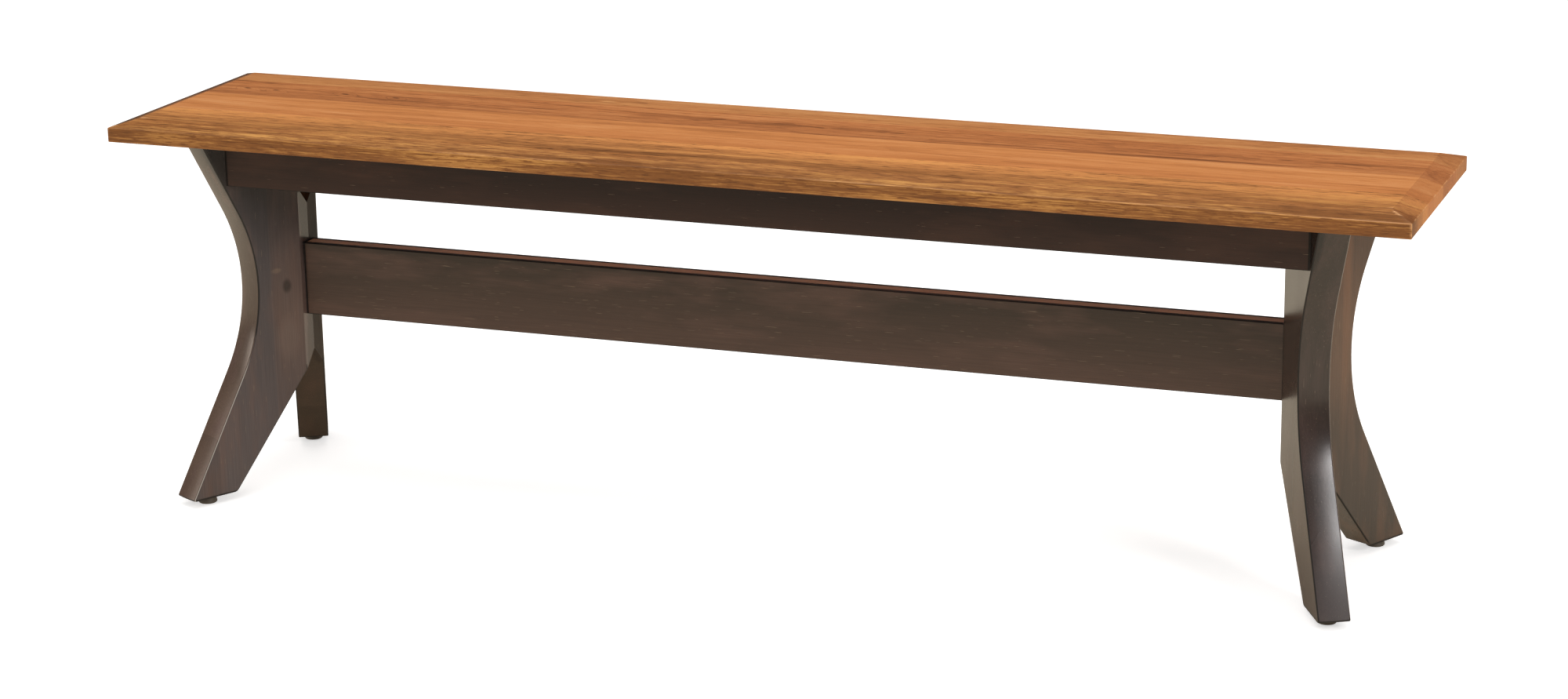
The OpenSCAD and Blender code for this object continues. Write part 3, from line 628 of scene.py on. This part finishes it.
def make_rail(name, y_middle, thick, z_low, z_high, x_end, splay_cut, eased_top, material):
    """A straight board: a rounded rectangle of thickness and height, carried along x between ends
    that lie at x_end plus splay_cut times the point's distance from the bench's middle plane. The
    arris value it keeps is the sine of twice the angle over an easing, and 1 within the last points at
    its ends, where it draws painted shade at the joints with the legs."""
    quarter = np.radians(np.linspace(0, 90, EASING))
    corner = np.stack([1 - np.cos(quarter), 1 - np.sin(quarter)], -1) * RAIL_EASED
    top = corner * (1 if eased_top else RAIL_SHARP)
    half = thick / 2
    section = np.concatenate([np.stack([-half + corner[:, 0], z_low + corner[:, 1]], -1),
                              np.stack([half - corner[::-1, 0], z_low + corner[::-1, 1]], -1),
                              np.stack([half - top[:, 0], z_high - top[:, 1]], -1),
                              np.stack([-half + top[::-1, 0], z_high - top[::-1, 1]], -1)])
    y = y_middle + section[:, 0]
    runs = np.concatenate([[-1, -0.9970, -0.9957], np.linspace(-0.99, 0.99, 23), [0.9957, 0.9970, 1]])
    x = runs[:, None] * (x_end + splay_cut * abs(y))
    points = np.stack([x, np.broadcast_to(y, x.shape), np.broadcast_to(section[:, 1], x.shape)], -1)
    number = np.arange(x.size).reshape(x.shape)
    after = np.roll(number, -1, 1)
    skin = np.stack([number[:-1], after[:-1], after[1:], number[1:]], -1).reshape(-1, 4)
    rail = make_piece(name, points.reshape(-1, 3), [skin, number[:1, ::-1], number[-1:]], material, 24)
    ease = np.sin(2 * quarter)
    wear_and_light = np.concatenate([ease, ease, ease * eased_top, ease * eased_top])
    # painted shade: the points at the ends are marked 1 and drawn dark where the rail meets the legs
    keep_wear_and_light(rail, np.maximum(wear_and_light, (abs(runs) > 0.9965)[:, None]))
    return rail


# The same stained maple, redder and a little duller, darker towards its top as painted shade under the seat
# and dark at the ends as painted shade where it meets the legs.
apron_maple = finished_board("apron_stained_maple", "#301e18", "#231411", (0.39, 0.425), "#3e281f", 0, 4.4,
                             polish=0.36, gloss=0.27)
for apron, face in (("front_apron", -1), ("back_apron", 1)):
    board = make_rail("board_" + apron, face * APRON_Y, APRON_THICK, APRON_LOW, SEAT_UNDER, FOLD_X,
                      math.tan(SWING), False, apron_maple)
    even_sheen(board)
    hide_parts(apron)
    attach(board, "bench")


# Stretcher: one broad board on edge between the flats of the two trestles, drawn tight by bolts
# into barrel nuts that are bored in from its hidden back face. It is the same stained maple, darker
# towards its top as painted shade under the seat, with its top face drawn much lighter as painted light.
STRETCHER_THICK, STRETCHER_LOW, STRETCHER_HIGH = 0.027, 0.2075, 0.2955
NUT_X, NUT_FROM, NUT_RADIUS, NUT_BORE = 0.557, -0.009, 0.0063, 0.027
stretcher_maple = finished_board("stretcher_stained_maple", "#4b382f", "#32271f", (0.215, 0.29), "#553f36",
                                 0, 8.2, polish=0.36, gloss=0.33,
                                 # painted light: the top face is drawn much lighter, standing in for light
                                 # that reaches it under the seat
                                 patches=[(0.0, 0.2960, 0.0, 0.0010, 50.0, "#bf9074", 1.0, 0.1)])
stretcher = make_rail("board_stretcher", 0.0, STRETCHER_THICK, STRETCHER_LOW, STRETCHER_HIGH, FLAT_X, 0.0,
                      True, stretcher_maple)
for nut_x in (-NUT_X, NUT_X):
    for nut_z in BOLT_HEIGHTS:
        bore(stretcher, (nut_x, NUT_FROM, nut_z), (0, 1, 0), NUT_RADIUS, NUT_BORE)
even_sheen(stretcher)
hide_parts("stretcher")
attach(stretcher, "bench")


# Cross rails and glue blocks: sawn poplar, stained but not lacquered, under the seat. Their holes
# for the seat screws are in the solids, which keep their shape here.
sawn_poplar = finished_board("sawn_stained_poplar", "#35251b", "#35251b", (0.38, 0.44), "#453224", 0, 1.2,
                             polish=0.72, gloss=0.2)
for hidden in ("left_rail", "middle_rail", "right_rail", "left_front_block", "left_back_block",
               "right_front_block", "right_back_block"):
    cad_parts[hidden].material_slots[0].material = sawn_poplar


# Dowels: plain beech rod, unstained and dull, pale with fine brown fibres. They are glued across
# the mitres and into the aprons and rails.
beech_rod = finished_board("beech_dowel_rod", "#cfaa79", "#cfaa79", (0.0, 0.44), "#b98f5f", 2, 6.1,
                           polish=0.7, gloss=0.2)
for hidden in ("left_mitre_dowels", "right_mitre_dowels", "apron_dowels", "rail_dowels"):
    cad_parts[hidden].material_slots[0].material = beech_rod


# Fasteners: zinc-plated steel bolts, washers, barrel nuts and screws, and turned brass inserts that
# are screwed up into the feet. Plating and turning leave them bright, cloudy and finely lined.
def plated_metal(name, bright, dull, polish):
    """Turned or rolled metal with a thin plating: fine lathe marks 0.3 mm apart and cloudy patches
    about 4 mm across where the plating lies thicker."""
    material = bpy.data.materials.new(name)
    tree = emptied_tree(material)
    own = add(tree, "TexCoord", out="Object")
    patches = add(tree, "TexNoise", {"Vector": own, "Scale": 1 / 0.004, "Detail": 3.0})
    marks = add(tree, "TexNoise", {"Vector": own, "Scale": 1 / 0.0003})
    colour = add(tree, "Mix", {0: patches, 6: linear(dull), 7: linear(bright)}, 2, data_type="RGBA")
    rough = add(tree, "MapRange", [patches, 0.0, 1.0, polish, polish + 0.15])
    bump = add(tree, "Bump", {"Height": marks, "Strength": 0.15, "Distance": 0.0001})
    surface = add(tree, "BsdfPrincipled", {"Base Color": colour, "Metallic": 1.0, "Roughness": rough,
                                           "Normal": bump})
    add(tree, "OutputMaterial", {"Surface": surface})
    return material


zinc_plate = plated_metal("bright_zinc_plated_steel", "#d3d6da", "#a9adb3", 0.28)
turned_brass = plated_metal("turned_brass", "#d9c07c", "#a98f50", 0.3)
for fastener in ("stretcher_bolts", "bolt_washers", "barrel_nuts", "seat_screws", "block_screws"):
    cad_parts[fastener].material_slots[0].material = zinc_plate
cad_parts["glide_inserts"].material_slots[0].material = turned_brass


# Glides: under each foot a moulded polyethylene pad, snapped over the head of a threaded steel stem
# that is turned by its hexagon up into the brass insert.
GLIDE_X, GLIDE_Y, PAD_SIDES, STEM_SIDES = 0.678979, 0.133794, 64, 48
HEXAGON, THREAD_FROM, STEM_TOP, STEM_TIP = 0.006, 0.0099, 0.0379, 0.0030
PITCH, CREST, ROOT = 0.00125, 0.00395, 0.0033
# radius, height and rounding of the pad's outline, from its sole round to the socket for the head
PAD_OUTLINE = [(0, 0, 0), (0.010, 0, 0.0003), (0.011, 0.001, 0.0005), (0.011, 0.002, 0.0004),
               (0.0095, 0.0075, 0.0008), (0.00408, 0.0075, 0.0003), (0.00408, 0.00368, 0),
               (0.00608, 0.00368, 0), (0.00608, 0.0016, 0), (0, 0.0016, 0)]
# height and radius in mm of the stem's round head and neck, and height and turned-down corner
# radius of its hexagon
STEM_ROWS = [(1.6, 0), (1.6, 5.8), (1.8, 6), (3.4, 6), (3.6, 5.8), (3.6, 4), (7.5, 4)]
HEXAGON_ROWS = [(7.5, 6.4), (7.8, 6.95), (9.6, 6.95), (9.9, 6.4)]


def turned_outline(corners):
    """Rounds the corners of an outline given as (radius, height, rounding): each is replaced by the
    quadratic curve from a point that far before the corner to a point that far after it."""
    at = np.array([corner[:2] for corner in corners])
    before, after = np.roll(at, 1, 0), np.roll(at, -1, 0)
    points = []
    for corner, back, on, (_, _, rounding) in zip(at, before, after, corners):
        if not rounding:
            points.append(corner[None])
            continue
        start = corner + (back - corner) / np.linalg.norm(back - corner) * rounding
        end = corner + (on - corner) / np.linalg.norm(on - corner) * rounding
        t = np.linspace(0, 1, 6)[:, None]
        points.append((1 - t) ** 2 * start + 2 * t * (1 - t) * corner + t ** 2 * end)
    return np.concatenate(points)


def round_piece(name, centre, radius, height, material, crease):
    """A closed round piece: radius and height are grids of rows (bottom pole to top pole) by
    columns (angles), and its point is (radius cos, radius sin, height)."""
    rows, columns = radius.shape
    angle = np.linspace(0, 2 * np.pi, columns, endpoint=False)
    ring = np.stack([radius * np.cos(angle), radius * np.sin(angle), height], -1)[1:-1]
    points = np.concatenate([ring.reshape(-1, 3), [[0, 0, height[0, 0]], [0, 0, height[-1, 0]]]]) + centre
    number = np.arange((rows - 2) * columns).reshape(rows - 2, columns)
    after = np.roll(number, -1, 1)
    skin = np.stack([number[:-1], after[:-1], after[1:], number[1:]], -1).reshape(-1, 4)
    low_pole, high_pole = np.full(columns, number.size), np.full(columns, number.size + 1)
    faces = [skin, np.stack([low_pole, after[0], number[0]], -1),
             np.stack([high_pole, number[-1], after[-1]], -1)]
    return make_piece(name, points, faces, material, crease)


# Low-density polyethylene, moulded and then sanded by floors: a dull grey-brown with a faint waxy
# sheen and dust-filled scratches 0.4 mm apart on it.
polyethylene = bpy.data.materials.new("moulded_grey_polyethylene")
tree = emptied_tree(polyethylene)
own = add(tree, "TexCoord", out="Object")
smudge = add(tree, "TexNoise", {"Vector": own, "Scale": 1 / 0.006, "Detail": 4.0})
grit = add(tree, "TexNoise", {"Vector": own, "Scale": 1 / 0.0004, "Detail": 2.0})
tint = add(tree, "Mix", {0: smudge, 6: linear("#4d463d"), 7: linear("#6a6257")}, 2, data_type="RGBA")
rough = add(tree, "MapRange", [smudge, 0.0, 1.0, 0.42, 0.62])
bump = add(tree, "Bump", {"Height": grit, "Strength": 0.25, "Distance": 0.0001})
plastic = add(tree, "BsdfPrincipled", {"Base Color": tint, "Roughness": rough, "Normal": bump, "IOR": 1.51})
add(tree, "OutputMaterial", {"Surface": plastic})

rolled_steel = plated_metal("rolled_thread_zinc_plated_steel", "#c6c9cd", "#8f9398", 0.32)

pad_grid = np.repeat(turned_outline(PAD_OUTLINE).T[..., None], PAD_SIDES, 2)
around = np.linspace(0, 2 * np.pi, STEM_SIDES, endpoint=False)
corners = HEXAGON / np.cos(around % (np.pi / 3) - np.pi / 6)
stem_radius = [np.full(STEM_SIDES, radius / 1000) for _, radius in STEM_ROWS]
stem_radius += [np.minimum(corners, reach / 1000) for _, reach in HEXAGON_ROWS]
stem_height = [np.full(STEM_SIDES, z / 1000) for z, _ in STEM_ROWS + HEXAGON_ROWS]
# M8 thread: a helix of 1.25 mm pitch whose depth over one pitch is a trapezium with a crest of
# one eighth, a root of one quarter and straight flanks, run out at both ends
climb = np.arange(THREAD_FROM, STEM_TOP, PITCH / 8)[:, None]
phase = abs((climb / PITCH - around / (2 * np.pi)) % 1 - 0.5) * 2
thread = ROOT + (CREST - ROOT) * np.clip((0.75 - phase) / 0.625, 0, 1)
thread = np.minimum(thread, np.minimum(ROOT + STEM_TOP - climb, CREST))
stem_radius = np.concatenate([stem_radius, thread, [np.full(STEM_SIDES, STEM_TIP), np.zeros(STEM_SIDES)]])
stem_height = np.concatenate([stem_height, np.broadcast_to(climb, thread.shape),
                              np.full((2, STEM_SIDES), STEM_TOP)])
for side_name, side in (("left", -1), ("right", 1)):
    for face_name, face in (("front", -1), ("back", 1)):
        corner = side_name + "_" + face_name
        centre = np.array([side * GLIDE_X, face * GLIDE_Y, 0])
        pad = round_piece("glide_pad_" + corner, centre, *pad_grid, polyethylene, 40)
        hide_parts(corner + "_pad")
        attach(pad, corner + "_pad")
        stem = round_piece("glide_stem_" + corner, centre, stem_radius, stem_height, rolled_steel, 35)
        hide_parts(corner + "_stem")
        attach(stem, corner + "_stem")


# Studio: a seamless sweep of white paper under four softboxes: one overhead, a narrow one to the
# right that makes the highlight on the right front leg, a warm one far to the left and a low one in
# front. White walls add an even fill from all round.
FLOOR_HALF, PAPER_LIFT, PAPER_IN_GLOSS = 12, 0.55, 0.16
FILL, FILL_IN_GLOSS = 0.50, 0.05
floor_corners = FLOOR_HALF * np.array([(-1, -1, 0), (1, -1, 0), (1, 1, 0), (-1, 1, 0)])
floor_mesh = bpy.data.meshes.new("studio_floor")
floor_mesh.from_pydata(floor_corners.tolist(), [], [(0, 1, 2, 3)])
floor = in_scene("studio_floor", floor_mesh)
# The paper is neutral to the camera and lifted to near white there; what it gives back to the bench
# is a little warm. The lacquer mirrors it dimly, as in the photograph's darker studio.
paper = bpy.data.materials.new("white_paper_sweep")
tree = emptied_tree(paper)
to_camera, to_gloss = [add(tree, "LightPath", out=ray) for ray in ("Is Camera Ray", "Is Glossy Ray")]
tone, tint = [add(tree, "Mix", {0: to_camera, 6: linear(to_bench), 7: linear(neutral)}, 2, data_type="RGBA")
              for to_bench, neutral in (("#f1e6d2", "#efeeec"), ("#e9c990", "#ffffff"))]
matt = add(tree, "BsdfDiffuse", {"Color": tone})
mirrored = add(tree, "Math", [to_gloss, PAPER_IN_GLOSS], operation="MULTIPLY")
bright = add(tree, "Math", [to_camera, PAPER_LIFT, mirrored], operation="MULTIPLY_ADD")
lift = add(tree, "Emission", {"Color": tint, "Strength": bright})
add(tree, "OutputMaterial", {"Surface": add(tree, "AddShader", [matt, lift])})
floor_mesh.materials.append(paper)

WHITE, WARM = (1.0, 1.0, 1.0), (1.0, 0.88, 0.76)
# name, place, what it points at, size in metres, watts and colour
for lamp_name, at, aim, size, watts, lamp_colour in (
        ("overhead_softbox", (0.0, -0.2, 3.2), (0.0, 0.0, 0.4), (3.5, 2.5), 65.0, WHITE),
        ("right_strip_softbox", (3.62, -1.86, 2.22), (0.69, -0.17, 0.15), (0.75, 1.05), 46.0, WHITE),
        ("left_softbox", (-6.1, -2.1, 1.5), (-0.65, -0.1, 0.2), (1.05, 1.7), 44.0, WARM),
        ("front_softbox", (0.0, -3.6, 2.7), (0.0, 0.0, 0.35), (2.4, 1.2), 28.0, WHITE)):
    softbox = bpy.data.lights.new(lamp_name, "AREA")
    softbox.shape, softbox.size, softbox.size_y = "RECTANGLE", *size
    softbox.energy, softbox.color = watts, lamp_colour
    in_scene(lamp_name, softbox).matrix_world = set_up(at, Vector(aim) - Vector(at))

# The walls are white to the camera and through glass, and an even fill on the bench. In gloss they
# are dim, because the photograph's lacquer mirrors a dark room.
walls = bpy.data.worlds.new("white_walls")
bpy.context.scene.world = walls
tree = emptied_tree(walls)
to_camera, to_gloss, through = [add(tree, "LightPath", out=ray)
                                for ray in ("Is Camera Ray", "Is Glossy Ray", "Is Transmission Ray")]
fill = add(tree, "Mix", {0: to_gloss, 2: FILL, 3: FILL_IN_GLOSS}, data_type="FLOAT")
seen = add(tree, "Math", [to_camera, through], operation="MAXIMUM")
level = add(tree, "Mix", {0: seen, 2: fill, 3: 1.0}, data_type="FLOAT")
light = add(tree, "Background", {"Color": (1, 1, 1, 1), "Strength": level})
add(tree, "OutputWorld", {"Surface": light})

bpy.context.scene.view_settings.view_transform = "Standard"
